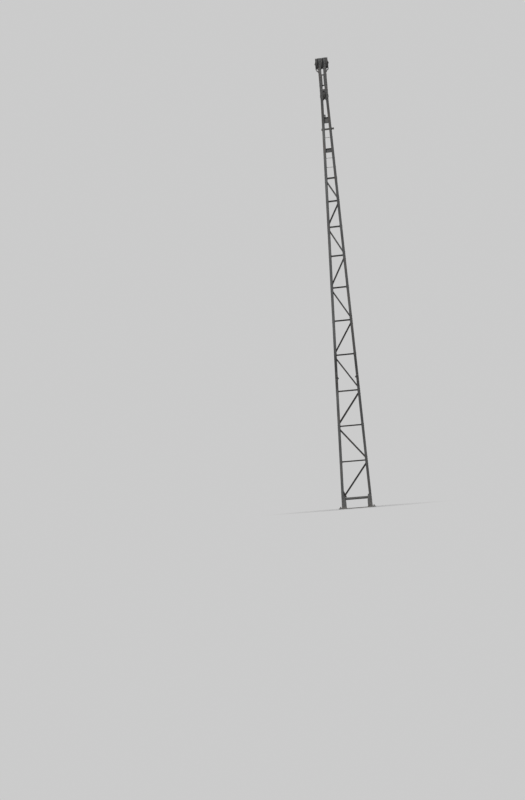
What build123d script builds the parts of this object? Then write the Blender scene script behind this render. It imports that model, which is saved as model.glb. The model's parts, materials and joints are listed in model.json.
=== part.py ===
from build123d import *
from itertools import accumulate
from math import cos, hypot, radians, sin
import os

# Railway catenary erection mast: two tapering channel legs, laced in the plane between
# them, with grooved hoist sheaves on one axle at the head.
# Millimetres. +X is to the right seen from the front, +Y to the rear, +Z up.
# The origin is the centre of the sole plate's underside.

# Overall form
foot_half_width = 590.0        # outer face of a leg's web, at the ground
head_half_width = 150.0        # outer face of a leg's web, above the kink
kink_height = 15700.0          # the legs run parallel from here up
axle_above_kink = 1450.0
leg_above_axle = 184.0

# Leg channels, toes inward
channel_depth = 160.0
channel_width = 94.0
channel_web = 8.0
channel_flange = 10.0
channel_root = 9.0             # fillet between web and flange
end_plate = 12.0               # welded on the ends that meet at the splice
end_plate_reach = 42.0         # how far it stands in past the toes

# Lacing, in the middle plane. The panels are the heights between the struts, from the
# ground up.
lower_panels = [1814.0, 1369.0, 1343.0]
upper_panels = [1395.0, 1312.0, 1277.0, 1218.0, 1117.0, 988.0, 889.0]
splice_above_strut = 510.0     # from the last strut of the lower panels
strut_size = 50.0
strut_thickness = 5.0
lower_diagonal_size = 65.0     # below the splice's panel
upper_diagonal_size = 55.0
diagonal_depth = 55.0          # the free leg's
diagonal_thickness = 6.0
diagonal_offset = 102.0        # from a strut's line to the end of a diagonal
bar_end_gap = 6.0              # between a strut's end and the gusset's flange
gusset_thickness = 6.0
gusset_height = 330.0          # where two diagonals meet
gusset_reach = 8.0             # how far it stands in past the toes
gusset_flange = 50.0           # the angle's leg that lies on the web
small_gusset_height = 120.0
foot_gusset_height = 250.0
foot_gusset_reach = 120.0      # at its lower edge, past the toes
plate_thickness = 8.0          # cheeks and fishplates on the legs' flanges
edge_margin = 9.0              # plates end this far inside the leg's edge
splice_plate_height = 400.0

# Foot
sole_thickness = 25.0
sole_margin = 30.0
shoe_base_thickness = 20.0
shoe_length = 280.0
shoe_width = 310.0
shoe_cheek_height = 470.0      # above the shoe's base
shoe_cheek_top = 130.0
shoe_cheek_foot = 175.0
anchor_spacing_x = 200.0
anchor_spacing_y = 240.0
anchor_hole = 13.0
foot_tie_height = 386.0
foot_tie_radius = 50.0
foot_tie_wall = 6.0
foot_tie_gap = 8.0             # from the tube up to the lowest gusset and bar

# Cross members between the legs, below the head
crossbeam_below_kink = 1901.0
crossbeam_size = 140.0
crossbeam_flange = 90.0
tie_beam_below_kink = 736.0
tie_beam_size = 200.0
tie_beam_flange = 110.0
beam_web = 8.0
beam_flange_thickness = 10.0
lug_height = 120.0
lug_reach = 66.0               # past the toes
lug_thickness = 14.0
lug_hole = 14.0
lug_corner = 24.0
guide_rod_below_kink = 1083.0
guide_rod_radius = 33.0
guide_rod_left = 32.0          # how far it stands out past each leg
guide_rod_right = 90.0
guide_knob_radius = 42.0
guide_knob_length = 28.0
lower_rung_shares = [0.308362, 0.73362]   # of the height from the top gusset to the crossbeam
upper_rung_shares = [0.596517]            # of the height from the crossbeam to the guide rod
rung_radius = 8.0

# Head
spacer_radius = 22.0
spacer_wall = 5.0
spacer_gap = 13.0              # from the lower sheave up to the first spacer
spacer_pitch = 195.0           # between the first two spacers
top_spacer_below_axle = 440.0
cheek_above_kink = 60.0        # the lower end of the cheek plates
cheek_reach = 14.0             # how far a cheek plate stands in past the toes
cheek_waist = 29.0             # the same, between the last two spacers
cheek_step = 15.0
batten_gap = 8.0               # from the lower sheave to the batten across the cheeks
axle_radius = 30.0
sheave_radius = 210.0
sheave_width = 76.0
middle_sheave_gap = 6.0        # from a middle sheave's rim to the cheek plates
lower_pin_above_kink = 215.0
lower_pin_radius = 25.0
lower_sheave_radius = 160.0
groove_radius = 14.0
groove_depth = 24.0
rim_lip = 8.0
rim_depth = 52.0
sheave_web = 14.0
hub_radius = 56.0
hub_overhang = 4.0             # a hub is this much longer than the rim on each side
lightening_holes = 6
lightening_share = 0.30        # hole radius, as a share of the free web between hub and rim
washer_thickness = 4.0
washer_radius = 52.0
guard_width = 90.0
guard_thickness = 10.0
guard_height_above = 60.0      # above the axle's centre
guard_clearance = 60.0         # from the sheave's rim down to the guard
guard_bend = 78.0
guard_foot = 66.0
guard_foot_bend = 12.0
nut_across_flats = 80.0
nut_thickness = 14.0
pin_collar_radius = 38.0
pin_collar_thickness = 12.0

# Clearances
running_fit = 0.05             # radial, between a turning bore and its pin
fixed_fit = 0.2                # radial, between a fixed pin and its hole
side_play = 0.5                # beside a turning hub

taper = (foot_half_width - head_half_width) / kink_height
face = channel_depth / 2
shoe_top = sole_thickness + shoe_base_thickness
strut_heights = list(accumulate(lower_panels + upper_panels))
splice_height = sum(lower_panels) + splice_above_strut
crossbeam_height = kink_height - crossbeam_below_kink
guide_rod_height = kink_height - guide_rod_below_kink
tie_beam_height = kink_height - tie_beam_below_kink
lower_pin_height = kink_height + lower_pin_above_kink
axle_height = kink_height + axle_above_kink
leg_top = axle_height + leg_above_axle
middle_sheave_width = 2 * (head_half_width - channel_width - cheek_reach - middle_sheave_gap)
first_spacer = lower_pin_height + lower_sheave_radius + spacer_gap + spacer_radius
spacer_heights = [first_spacer, first_spacer + spacer_pitch, axle_height - top_spacer_below_axle]
foot_tie_top = foot_tie_height + foot_tie_radius + foot_tie_gap
leg_centre = foot_half_width - channel_width / 2


def half_width(z):
    """Distance from the centre line to a leg's outer face."""
    return max(foot_half_width - taper * z, head_half_width)


def toe(z):
    return half_width(z) - channel_width


def bore_through(z, radius):
    """Cut a hole along X, right through."""
    with Locations((0, 0, z)):
        Cylinder(radius, 2 * foot_half_width, rotation=(0, 90, 0), mode=Mode.SUBTRACT)


def write(part, name):
    part.label = name
    export_step(part, "parts/" + name + ".step")


os.makedirs("parts", exist_ok=True)

# Inner faces of the two webs below the kink, facing outwards
web_face_right = Plane(origin=(foot_half_width - channel_web, 0, 0), z_dir=(1, 0, taper))
web_face_left = Plane(origin=(channel_web - foot_half_width, 0, 0), z_dir=(-1, 0, taper))


# Legs
def channel_section(x_outer, side, z):
    """Channel with its web's outer face at x_outer and its toes towards the centre."""
    inner = x_outer - side * channel_web
    tip = x_outer - side * channel_width
    with BuildSketch(Plane.XY.offset(z)) as section:
        with BuildLine():
            Polyline(
                (x_outer, -face), (x_outer, face), (tip, face), (tip, face - channel_flange),
                (inner, face - channel_flange), (inner, channel_flange - face),
                (tip, channel_flange - face), (tip, -face), (x_outer, -face),
            )
        make_face()
        roots = section.vertices().filter_by(lambda v: abs(v.X - inner) < 0.01)
        fillet(roots, channel_root)
    return section.sketch


def make_leg(side, bottom, top, plate_at, bored):
    """One leg section. side is 1 on the right and -1 on the left."""
    slope_top = min(top, kink_height)
    start = side * half_width(bottom)
    with BuildPart() as leg:
        run = (slope_top - bottom) * hypot(1, taper)
        extrude(channel_section(start, side, bottom), amount=run, dir=(-side * taper, 0, 1))
        if top > kink_height:
            extrude(
                channel_section(side * head_half_width, side, kink_height),
                amount=top - kink_height,
            )
        plate_end = toe(plate_at) - end_plate_reach
        plate_outer = min(half_width(plate_at), half_width(plate_at + end_plate))
        with BuildSketch(Plane.XY.offset(plate_at)):
            with Locations((side * (plate_end + plate_outer) / 2, 0)):
                Rectangle(plate_outer - plate_end, channel_depth)
        extrude(amount=end_plate)
        for height, radius in bored:
            bore_through(height, radius)
    return leg.part


pin_holes = [
    (guide_rod_height, guide_rod_radius + fixed_fit),
    (lower_pin_height, lower_pin_radius + fixed_fit),
    (axle_height, axle_radius + fixed_fit),
]
for side, side_name in ((-1, "left"), (1, "right")):
    lower = make_leg(side, shoe_top, splice_height, splice_height - end_plate, [])
    upper = make_leg(side, splice_height, leg_top, splice_height, pin_holes)
    write(lower, "leg_lower_" + side_name)
    write(upper, "leg_upper_" + side_name)

# Sole plate and shoes
sole_length = 2 * leg_centre + shoe_length + 2 * sole_margin
sole_width = shoe_width + sole_margin
with BuildPart() as sole_plate:
    with BuildSketch():
        Rectangle(sole_length, sole_width)
    extrude(amount=sole_thickness)
    chamfer(sole_plate.edges().filter_by(Axis.Z), sole_margin / 2)
    with Locations((-leg_centre, 0, sole_thickness), (leg_centre, 0, sole_thickness)):
        with GridLocations(anchor_spacing_x, anchor_spacing_y, 2, 2):
            Hole(anchor_hole)
write(sole_plate.part, "sole_plate")


def make_shoe(side):
    """Base flange under a leg, with a cheek plate on each face of the channel."""
    cheek_z = shoe_top + shoe_cheek_height
    outer_foot = side * half_width(shoe_top)
    outer_top = side * half_width(cheek_z)
    with BuildPart() as shoe:
        with BuildSketch(Plane.XY.offset(sole_thickness)):
            with Locations((side * leg_centre, 0)):
                Rectangle(shoe_length, shoe_width)
        extrude(amount=shoe_base_thickness)
        chamfer(shoe.edges().filter_by(Axis.Z), sole_margin / 2)
        with BuildSketch(Plane.XZ.offset(face)):
            with BuildLine():
                Polyline(
                    (outer_foot, shoe_top), (outer_top, cheek_z),
                    (outer_top - side * shoe_cheek_top, cheek_z),
                    (outer_foot - side * shoe_cheek_foot, shoe_top + shoe_cheek_height * 0.45),
                    (outer_foot - side * shoe_cheek_foot, shoe_top), (outer_foot, shoe_top),
                )
            make_face()
        extrude(amount=plate_thickness)
        mirror(about=Plane.XZ)
        with Locations((side * leg_centre, 0, shoe_top)):
            with GridLocations(anchor_spacing_x, anchor_spacing_y, 2, 2):
                Hole(anchor_hole, depth=shoe_base_thickness)
    return shoe.part


write(make_shoe(-1), "foot_shoe_left")
write(make_shoe(1), "foot_shoe_right")

with BuildPart() as foot_tie_tube:
    with BuildSketch(Plane.YZ):
        with Locations((0, foot_tie_height)):
            Circle(foot_tie_radius)
            Circle(foot_tie_radius - foot_tie_wall, mode=Mode.SUBTRACT)
    extrude(amount=foot_half_width, both=True)
    split(bisect_by=web_face_right, keep=Keep.BOTTOM)
    split(bisect_by=web_face_left, keep=Keep.BOTTOM)
write(foot_tie_tube.part, "foot_tie_tube")


# Lacing. Every bar is a pair of angles back to back, one on the front and one on the rear
# of the gussets, with its free leg along the upper edge.
def lacing_bar(start, end, size, depth, thickness):
    """Front angle of a bar, between two (x, z) points on its centre line."""
    along = Vector(end[0] - start[0], 0, end[1] - start[1])
    up = Vector(-along.Z, 0, along.X).normalized()
    up = up if up.Z > 0 else -up
    flat = Plane(origin=(start[0], -gusset_thickness, start[1]), x_dir=up, z_dir=along)
    outward = -1 if flat.y_dir.Y > 0 else 1
    with BuildSketch(flat) as section:
        with BuildLine():
            Polyline(
                (-size / 2, 0), (size / 2, 0), (size / 2, outward * depth),
                (size / 2 - thickness, outward * depth),
                (size / 2 - thickness, outward * thickness),
                (-size / 2, outward * thickness), (-size / 2, 0),
            )
        make_face()
    extrude(section.sketch, amount=along.length)


def leg_point(side, z):
    """Middle of a leg's trough, where the diagonals end."""
    return (side * (toe(z) + (channel_width - channel_web - gusset_thickness) / 2), z)


with BuildPart() as front_struts:
    for z in strut_heights:
        reach = half_width(z + strut_size / 2) - channel_web - gusset_thickness - bar_end_gap
        lacing_bar((-reach, z), (reach, z), strut_size, strut_size, strut_thickness)
with BuildPart() as front_diagonals:
    foot_end = foot_tie_top + lower_diagonal_size / 4
    start = (-toe(foot_end), foot_end)
    side = -1
    for z in strut_heights:
        size = lower_diagonal_size if z < splice_height else upper_diagonal_size
        end = leg_point(-side, z - diagonal_offset)
        lacing_bar(start, end, size, diagonal_depth, diagonal_thickness)
        side = -side
        start = leg_point(side, z + diagonal_offset)


# Gussets are short lengths of unequal angle, in pairs back to back. The wide leg carries
# the bars and the narrow one lies on the web.
def gusset(side, z, height):
    """Front gusset centred at height z."""
    low = z - height / 2
    web_side = side * (half_width(low) - channel_web)
    inner = side * (toe(low) - gusset_reach)
    flange_side = web_side - side * gusset_thickness
    with BuildSketch(Plane.XY.offset(low)) as section:
        with BuildLine():
            Polyline(
                (web_side, 0), (inner, 0), (inner, -gusset_thickness),
                (flange_side, -gusset_thickness), (flange_side, -gusset_flange),
                (web_side, -gusset_flange), (web_side, 0),
            )
        make_face()
        root = section.vertices().filter_by(
            lambda v: abs(v.X - flange_side) < 0.01 and abs(v.Y + gusset_thickness) < 0.01
        )
        fillet(root, gusset_thickness)
    extrude(section.sketch, amount=height * hypot(1, taper), dir=(-side * taper, 0, 1))


def foot_gusset(side, low):
    """Gusset with a corner plate, above the end of the foot tie."""
    gusset(side, low + foot_gusset_height / 2, foot_gusset_height)
    high = low + foot_gusset_height
    with BuildSketch(Plane.XZ) as corner:
        with BuildLine():
            Polyline(
                (side * toe(low), low), (side * (toe(low) - foot_gusset_reach), low),
                (side * (toe(high) - gusset_reach), high), (side * toe(high), high),
                (side * toe(low), low),
            )
        make_face()
    extrude(corner.sketch, amount=gusset_thickness)


with BuildPart() as front_gussets:
    foot_gusset(-1, foot_tie_top)
    side = 1
    for z in strut_heights:
        gusset(side, z, gusset_height)
        gusset(-side, z, small_gusset_height)
        side = -side

for name, front in (
    ("struts", front_struts), ("diagonals", front_diagonals), ("gussets", front_gussets),
):
    with BuildPart() as rear:
        add(front.part)
        mirror(about=Plane.XZ, mode=Mode.REPLACE)
    write(front.part, "front_" + name)
    write(rear.part, "rear_" + name)

# Fishplates over the leg splices
for side, side_name in ((-1, "left"), (1, "right")):
    low = splice_height - splice_plate_height / 2
    high = splice_height + splice_plate_height / 2
    with BuildPart() as splice_plates:
        with BuildSketch(Plane.XZ.offset(face)):
            with BuildLine():
                Polyline(
                    (side * (half_width(low) - edge_margin), low),
                    (side * (half_width(high) - edge_margin), high),
                    (side * (toe(high) + edge_margin), high),
                    (side * (toe(low) + edge_margin), low),
                    (side * (half_width(low) - edge_margin), low),
                )
            make_face()
        extrude(amount=plate_thickness)
        mirror(about=Plane.XZ)
    write(splice_plates.part, "splice_plates_" + side_name)


# Cross members
def make_beam(z, size, flange):
    """Rolled joist between the legs' webs."""
    with BuildPart() as beam:
        with BuildSketch(Plane.YZ):
            with Locations((0, z)):
                Rectangle(beam_web, size)
            with Locations(
                (0, z + (size - beam_flange_thickness) / 2),
                (0, z - (size - beam_flange_thickness) / 2),
            ):
                Rectangle(flange, beam_flange_thickness)
        extrude(amount=foot_half_width, both=True)
        split(bisect_by=web_face_right, keep=Keep.BOTTOM)
        split(bisect_by=web_face_left, keep=Keep.BOTTOM)
    return beam.part


write(make_beam(crossbeam_height, crossbeam_size, crossbeam_flange), "upper_crossbeam")
write(make_beam(tie_beam_height, tie_beam_size, tie_beam_flange), "head_tie_beam")

# Rope lug, standing on the tie beam in the left leg's trough
lug_foot = tie_beam_height + tie_beam_size / 2
lug_top = lug_foot + lug_height
lug_end = lug_reach - toe(lug_foot)
with BuildPart() as rope_lug:
    with BuildSketch(Plane.XZ.offset(-lug_thickness / 2)):
        with BuildLine():
            Polyline(
                (channel_web - half_width(lug_foot), lug_foot),
                (channel_web - half_width(lug_top), lug_top),
                (lug_end - lug_corner, lug_top), (lug_end, lug_top - lug_corner),
                (lug_end, lug_foot), (channel_web - half_width(lug_foot), lug_foot),
            )
        make_face()
        with Locations((lug_end - lug_reach / 2, lug_foot + lug_height / 2)):
            Circle(lug_hole, mode=Mode.SUBTRACT)
    extrude(amount=lug_thickness)
write(rope_lug.part, "rope_lug")

with BuildPart() as rope_guide_rod:
    rod_start = -half_width(guide_rod_height) - guide_rod_left
    rod_end = half_width(guide_rod_height) + guide_rod_right
    with BuildSketch(Plane.YZ.offset(rod_start)):
        with Locations((0, guide_rod_height)):
            Circle(guide_rod_radius)
    extrude(amount=rod_end - rod_start)
    with BuildSketch(Plane.YZ.offset(rod_end - guide_knob_length)):
        with Locations((0, guide_rod_height)):
            Circle(guide_knob_radius)
    extrude(amount=guide_knob_length)
    chamfer(rope_guide_rod.edges().filter_by(GeomType.CIRCLE).sort_by(Axis.X)[-1], edge_margin / 2)
write(rope_guide_rod.part, "rope_guide_rod")

# Rungs between the webs, in two bays: from the lacing to the crossbeam, and from there to
# the guide rod. A crossbeam set as low as the lacing leaves one bay for all of them.
lacing_top = strut_heights[-1] + gusset_height / 2
guide_rod_underside = guide_rod_height - guide_rod_radius
crossbeam_underside = crossbeam_height - crossbeam_size / 2
crossbeam_top = crossbeam_height + crossbeam_size / 2
lower_bay_top = crossbeam_underside if crossbeam_underside > lacing_top else guide_rod_underside
rung_bays = [
    (lacing_top, lower_bay_top, lower_rung_shares),
    (max(crossbeam_top, lacing_top), guide_rod_underside, upper_rung_shares),
]
with BuildPart() as upper_rungs:
    for low, high, shares in rung_bays:
        for share in shares:
            with BuildSketch(Plane.YZ):
                with Locations((0, low + share * (high - low))):
                    Circle(rung_radius)
            extrude(amount=foot_half_width, both=True)
    split(bisect_by=web_face_right, keep=Keep.BOTTOM)
    split(bisect_by=web_face_left, keep=Keep.BOTTOM)
write(upper_rungs.part, "upper_rungs")

# Head frame
web_inner = head_half_width - channel_web
with BuildPart() as head_spacers:
    for z in spacer_heights:
        with BuildSketch(Plane.YZ):
            with Locations((0, z)):
                Circle(spacer_radius)
                Circle(spacer_radius - spacer_wall, mode=Mode.SUBTRACT)
        extrude(amount=web_inner, both=True)
write(head_spacers.part, "head_spacers")

# Cheek plates on the flanges, from below the lower sheave to the top, with a batten across
# above that sheave
with BuildPart() as head_cheeks_front:
    cheek_foot = kink_height + cheek_above_kink
    cheek_inner = head_half_width - channel_width - cheek_reach
    waist_inner = head_half_width - channel_width - cheek_waist
    waist_low, waist_high = spacer_heights[1:]
    batten_low = lower_pin_height + lower_sheave_radius + batten_gap - (
        lower_sheave_radius - (lower_sheave_radius ** 2 - face ** 2) ** 0.5
    )
    batten_high = first_spacer + spacer_radius
    with BuildSketch(Plane.XZ.offset(face)):
        with BuildLine():
            Polyline(
                (head_half_width, cheek_foot), (head_half_width, leg_top), (cheek_inner, leg_top),
                (cheek_inner, waist_high + cheek_step), (waist_inner, waist_high),
                (waist_inner, waist_low), (cheek_inner, waist_low - cheek_step),
                (cheek_inner, cheek_foot), (head_half_width, cheek_foot),
            )
        make_face()
        mirror(about=Plane.YZ)
        with Locations((0, (batten_low + batten_high) / 2)):
            Rectangle(2 * cheek_inner, batten_high - batten_low)
    extrude(amount=plate_thickness)
with BuildPart() as head_cheeks_rear:
    add(head_cheeks_front.part)
    mirror(about=Plane.XZ, mode=Mode.REPLACE)
write(head_cheeks_front.part, "head_cheeks_front")
write(head_cheeks_rear.part, "head_cheeks_rear")


# Sheaves
def make_sheave(x, z, radius, width, pin_radius):
    """Cast rope sheave turning about an axis along X through (x, 0, z)."""
    rim_half = width / 2
    rim_foot = radius - rim_depth
    bottom = radius - groove_depth
    flank = rim_half - rim_lip
    with BuildPart() as sheave:
        with BuildSketch(Plane(origin=(x, 0, z), x_dir=(1, 0, 0), z_dir=(0, -1, 0))):
            with BuildLine():
                Polyline(
                    (0, bottom), (0, pin_radius + running_fit),
                    (rim_half + hub_overhang, pin_radius + running_fit),
                    (rim_half + hub_overhang, hub_radius - hub_overhang),
                    (rim_half, hub_radius), (sheave_web / 2, hub_radius + hub_overhang),
                    (sheave_web / 2, rim_foot - hub_overhang), (rim_half, rim_foot + hub_overhang),
                    (rim_half, radius), (flank, radius),
                    (groove_radius, bottom + groove_radius),
                )
                ThreePointArc(
                    (groove_radius, bottom + groove_radius),
                    (groove_radius * sin(radians(45)), bottom + groove_radius * (1 - cos(radians(45)))),
                    (0, bottom),
                )
            make_face()
            mirror(about=Plane.YZ)
        revolve(axis=Axis((x, 0, z), (1, 0, 0)))
        hole_circle = (hub_radius + rim_foot) / 2
        with BuildSketch(Plane(origin=(x, 0, z), z_dir=(1, 0, 0))):
            with PolarLocations(hole_circle, lightening_holes):
                Circle((rim_foot - hub_radius) * lightening_share)
        extrude(amount=width, both=True, mode=Mode.SUBTRACT)
    return sheave.part


outer_hub = sheave_width / 2 + hub_overhang
outer_centre = head_half_width + side_play + outer_hub
middle_hub = middle_sheave_width / 2 + hub_overhang
hub_end = outer_centre + outer_hub
write(make_sheave(-outer_centre, axle_height, sheave_radius, sheave_width, axle_radius), "sheave_left")
write(make_sheave(0, axle_height, sheave_radius, middle_sheave_width, axle_radius), "sheave_middle")
write(make_sheave(outer_centre, axle_height, sheave_radius, sheave_width, axle_radius), "sheave_right")
write(
    make_sheave(0, lower_pin_height, lower_sheave_radius, middle_sheave_width, lower_pin_radius),
    "lower_sheave",
)


# Axle, pin and what keeps them in place
def ring(x, z, outer, inner, thickness):
    """Flat ring about an axis along X, from x outwards in +X."""
    with BuildSketch(Plane.YZ.offset(x)) as flat_ring:
        with Locations((0, z)):
            Circle(outer)
            Circle(inner, mode=Mode.SUBTRACT)
    extrude(flat_ring.sketch, amount=thickness)


washer_start = hub_end + side_play
guard_start = washer_start + washer_thickness
nut_start = guard_start + guard_thickness
axle_end = nut_start + nut_thickness
with BuildPart() as head_axle:
    with BuildSketch(Plane.YZ):
        with Locations((0, axle_height)):
            Circle(axle_radius)
    extrude(amount=axle_end, both=True)
write(head_axle.part, "head_axle")

with BuildPart() as axle_spacers:
    sleeve = web_inner - middle_hub - side_play
    ring(middle_hub + side_play, axle_height, axle_radius + spacer_wall + fixed_fit, axle_radius + fixed_fit, sleeve)
    ring(middle_hub + side_play, lower_pin_height, lower_pin_radius + spacer_wall + fixed_fit,
         lower_pin_radius + fixed_fit, sleeve)
    mirror(about=Plane.YZ)
write(axle_spacers.part, "axle_spacers")

with BuildPart() as axle_washers:
    ring(washer_start, axle_height, washer_radius, axle_radius + fixed_fit, washer_thickness)
    mirror(about=Plane.YZ)
write(axle_washers.part, "axle_washers")

with BuildPart() as axle_nuts:
    with BuildSketch(Plane.YZ.offset(nut_start)):
        with Locations((0, axle_height)):
            RegularPolygon(nut_across_flats / 2, 6, major_radius=False)
            Circle(axle_radius + fixed_fit, mode=Mode.SUBTRACT)
    extrude(amount=nut_thickness)
    mirror(about=Plane.YZ)
write(axle_nuts.part, "axle_nuts")

with BuildPart() as lower_sheave_pin:
    with BuildSketch(Plane.YZ):
        with Locations((0, lower_pin_height)):
            Circle(lower_pin_radius)
    extrude(amount=head_half_width, both=True)
    with BuildSketch(Plane.YZ.offset(head_half_width)):
        with Locations((0, lower_pin_height)):
            Circle(pin_collar_radius)
    extrude(amount=pin_collar_thickness)
    mirror(about=Plane.YZ)
write(lower_sheave_pin.part, "lower_sheave_pin")

# Rope guards: straps from the axle's ends round under the outer sheaves to the legs
guard_line = guard_start + guard_thickness / 2
guard_cross = axle_height - sheave_radius - guard_clearance - guard_thickness / 2
foot_line = head_half_width + guard_thickness / 2
with BuildPart() as rope_guard_right:
    strap_top = axle_height + guard_height_above
    with BuildLine(Plane.XZ):
        FilletPolyline(
            (guard_line, strap_top), (guard_line, guard_cross),
            (foot_line, guard_cross), (foot_line, guard_cross - guard_foot),
            radius=[guard_bend, guard_foot_bend],
        )
    with BuildSketch(Plane(origin=(guard_line, 0, strap_top), x_dir=(1, 0, 0), z_dir=(0, 0, -1))):
        Rectangle(guard_thickness, guard_width)
    sweep()
    bore_through(axle_height, axle_radius + fixed_fit)
with BuildPart() as rope_guard_left:
    add(rope_guard_right.part)
    mirror(about=Plane.YZ, mode=Mode.REPLACE)
write(rope_guard_right.part, "rope_guard_right")
write(rope_guard_left.part, "rope_guard_left")
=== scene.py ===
import json
import math
import random

import bpy
from mathutils import Matrix, Vector


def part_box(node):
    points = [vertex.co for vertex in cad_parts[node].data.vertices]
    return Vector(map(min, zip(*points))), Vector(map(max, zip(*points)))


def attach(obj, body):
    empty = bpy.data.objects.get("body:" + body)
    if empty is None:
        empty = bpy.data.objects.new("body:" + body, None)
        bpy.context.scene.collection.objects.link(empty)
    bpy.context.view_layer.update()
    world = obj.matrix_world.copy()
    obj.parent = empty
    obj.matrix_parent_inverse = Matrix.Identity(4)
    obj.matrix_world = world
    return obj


# Railway catenary erection mast. Metres, +Z up the mast, +Y away from the front.
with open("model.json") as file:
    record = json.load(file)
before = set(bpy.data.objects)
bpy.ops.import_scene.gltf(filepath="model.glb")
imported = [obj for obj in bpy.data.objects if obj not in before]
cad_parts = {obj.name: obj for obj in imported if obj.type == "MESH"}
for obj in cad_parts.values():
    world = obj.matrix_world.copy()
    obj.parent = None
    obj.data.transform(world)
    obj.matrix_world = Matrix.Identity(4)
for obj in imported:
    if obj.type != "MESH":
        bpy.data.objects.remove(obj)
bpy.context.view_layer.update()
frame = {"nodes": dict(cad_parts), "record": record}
nodes = frame["nodes"]
mastBody = "mast"
sheaveNodes = ("sheave_left", "sheave_middle", "sheave_right", "lower_sheave")
print("frame loaded:", len(nodes), "CAD nodes")


# Small helpers for working by operator
def clearSelection():
    bpy.ops.object.select_all(action="DESELECT")


def makeActive(piece):
    clearSelection()
    piece.select_set(True)
    bpy.context.view_layer.objects.active = piece


def editMode(piece):
    makeActive(piece)
    bpy.ops.object.mode_set(mode="EDIT")
    bpy.ops.mesh.select_all(action="DESELECT")


def objectMode():
    bpy.ops.object.mode_set(mode="OBJECT")


def selectFaces(piece, wanted):
    # in edit mode: picks the faces for which wanted(face) is true
    bpy.ops.mesh.select_all(action="DESELECT")
    bpy.ops.mesh.select_mode(type="FACE")
    objectMode()
    for face in piece.data.polygons:
        face.select = bool(wanted(face))
    bpy.ops.object.mode_set(mode="EDIT")


def lookingUp(face, least=0.9):
    return face.normal.z > least


def applyPlace(piece):
    makeActive(piece)
    bpy.ops.object.transform_apply(location=True, rotation=True, scale=True)


def applyBevel(piece, width, segments=2):
    bevel = piece.modifiers.new("bevel", "BEVEL")
    bevel.width = width
    bevel.segments = segments
    bevel.limit_method = "ANGLE"
    makeActive(piece)
    bpy.ops.object.modifier_apply(modifier=bevel.name)


def joinPieces(pieces):
    clearSelection()
    for piece in pieces:
        piece.select_set(True)
    bpy.context.view_layer.objects.active = pieces[0]
    if len(pieces) > 1:
        bpy.ops.object.join()
    applyPlace(pieces[0])
    return pieces[0]


def joinCopies(pattern, places):
    # one piece made of copies of the pattern, one for each placing matrix
    copies = []
    for place in places:
        copy = bpy.data.objects.new(pattern.name, pattern.data.copy())
        copy.data.transform(place)
        bpy.context.scene.collection.objects.link(copy)
        copies.append(copy)
    return joinPieces(copies)


def discard(piece):
    bpy.data.objects.remove(piece, do_unlink=True)


def dress(piece, name, body, material, angle=35):
    # names, smooths, paints and seats a finished piece
    piece.name = name
    piece.data.materials.clear()
    piece.data.materials.append(material)
    makeActive(piece)
    bpy.ops.object.shade_smooth_by_angle(angle=math.radians(angle))
    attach(piece, body)
    return piece


def turnTo(direction):
    # rotation that takes local +Z to the direction
    return Vector(direction).to_track_quat("Z", "Y").to_matrix().to_4x4()


turns = random.Random(11)


def seat(point, direction):
    # placing matrix on a face, turned at random about the face's normal
    spin = Matrix.Rotation(turns.uniform(0, math.tau), 4, "Z")
    return Matrix.Translation(point) @ turnTo(direction) @ spin


def solidsOf(nodeName):
    # the separate solids of a CAD node, each as a list of its corners
    mesh = nodes[nodeName].data
    owner = {}

    def root(key):
        while owner[key] != key:
            owner[key] = owner[owner[key]]
            key = owner[key]
        return key

    for face in mesh.polygons:
        keys = [tuple(round(c, 4) for c in mesh.vertices[i].co) for i in face.vertices]
        for key in keys:
            owner.setdefault(key, key)
        for key in keys[1:]:
            owner[root(key)] = root(keys[0])
    groups = {}
    for key in owner:
        groups.setdefault(root(key), []).append(Vector(key))
    return list(groups.values())


def lowHigh(points, axis):
    values = [p[axis] for p in points]
    return min(values), max(values)


def boxSpan(nodeName, axis):
    low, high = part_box(nodeName)
    return low[axis], high[axis]


# The leg channels, as the frame has them
channel = {"depth": 0.160, "width": 0.094, "web": 0.008, "flange": 0.010, "kink": 15.7}
footZ = boxSpan("leg_lower_right", 2)[0]
spliceZ = boxSpan("leg_lower_right", 2)[1]
footX = boxSpan("leg_lower_right", 0)[1]
headX = boxSpan("head_cheeks_front", 0)[1]
taper = (footX - headX) / (channel["kink"] - footZ)
plateY = boxSpan("splice_plates_right", 1)[1]  # outer face of the plates on the flanges


def halfWidth(z):
    return max(headX, footX - taper * (z - footZ))


def outward(side, z):
    # normal of a web's outer face
    return Vector((side, 0, taper if z < channel["kink"] else 0)).normalized()


# Materials
def addNode(tree, kind, **settings):
    node = tree.nodes.new(kind)
    for key, value in settings.items():
        setattr(node, key, value)
    return node


def setInputs(node, **values):
    for key, value in values.items():
        node.inputs[key.replace("_", " ")].default_value = value
    return node


def newGroup(name, output, **inputs):
    # a group that reads a vector and the named values, and puts out one value
    group = bpy.data.node_groups.new(name, "ShaderNodeTree")
    group.interface.new_socket("Vector", in_out="INPUT", socket_type="NodeSocketVector")
    for socketName, default in inputs.items():
        socket = group.interface.new_socket(socketName, in_out="INPUT", socket_type="NodeSocketFloat")
        socket.default_value = default
    group.interface.new_socket(output, in_out="OUTPUT", socket_type="NodeSocketFloat")
    return group, addNode(group, "NodeGroupInput"), addNode(group, "NodeGroupOutput")


def feed(tree, socket, value):
    # links an input to another node's output, or sets it to a constant
    if isinstance(value, bpy.types.NodeSocket):
        tree.links.new(value, socket)
    else:
        socket.default_value = value


def rampBetween(tree, value, low, high):
    # a node that maps low..high of a value to 0..1, clamped
    node = addNode(tree, "ShaderNodeMapRange", interpolation_type="SMOOTHSTEP")
    node.inputs["From Min"].default_value = low
    node.inputs["From Max"].default_value = high
    tree.links.new(value, node.inputs["Value"])
    return node.outputs["Result"]


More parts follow.
